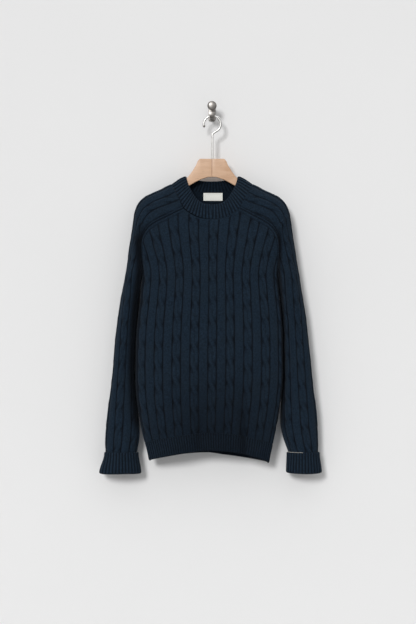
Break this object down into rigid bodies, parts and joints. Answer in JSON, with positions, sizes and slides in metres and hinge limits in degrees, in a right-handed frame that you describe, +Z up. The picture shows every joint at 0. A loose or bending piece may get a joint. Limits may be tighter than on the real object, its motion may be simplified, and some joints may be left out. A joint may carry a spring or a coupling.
{
  "type": "cable-knit crew-neck sweater on a wooden hanger",
  "caption": "Navy cable-knit crew-neck sweater with saddle shoulders, ribbed collar and hem and turned-back ribbed cuffs, hung on a beech hanger from a small wall hook.",
  "frame": {"origin": "centre of the wall plate's back, on the wall", "axes": "+X to the viewer's right, +Y into the wall, +Z up"},
  "size_m": [0.5563, 0.1023, 0.932],
  "materials": {
    "navy_wool": "matt cable-knit wool",
    "navy_rib": "matt ribbed wool",
    "label": "woven label, bare",
    "beech": "satin lacquered beech",
    "steel_wire": "polished steel wire",
    "aged_nickel": "worn nickel plating"
  },
  "bodies": {
    "root": {"front": "navy_wool", "back": "navy_wool", "sleeve_left": "navy_wool", "sleeve_right": "navy_wool", "collar": "navy_rib", "hem_rib": "navy_rib", "cuff_left": "navy_rib", "cuff_right": "navy_rib", "neck_label": "label", "hanger_left": "beech", "hanger_right": "beech", "hanger_hook": "steel_wire", "wall_plate": "aged_nickel", "wall_strap": "aged_nickel", "wall_knob": "aged_nickel"}
  },
  "joints": []
}
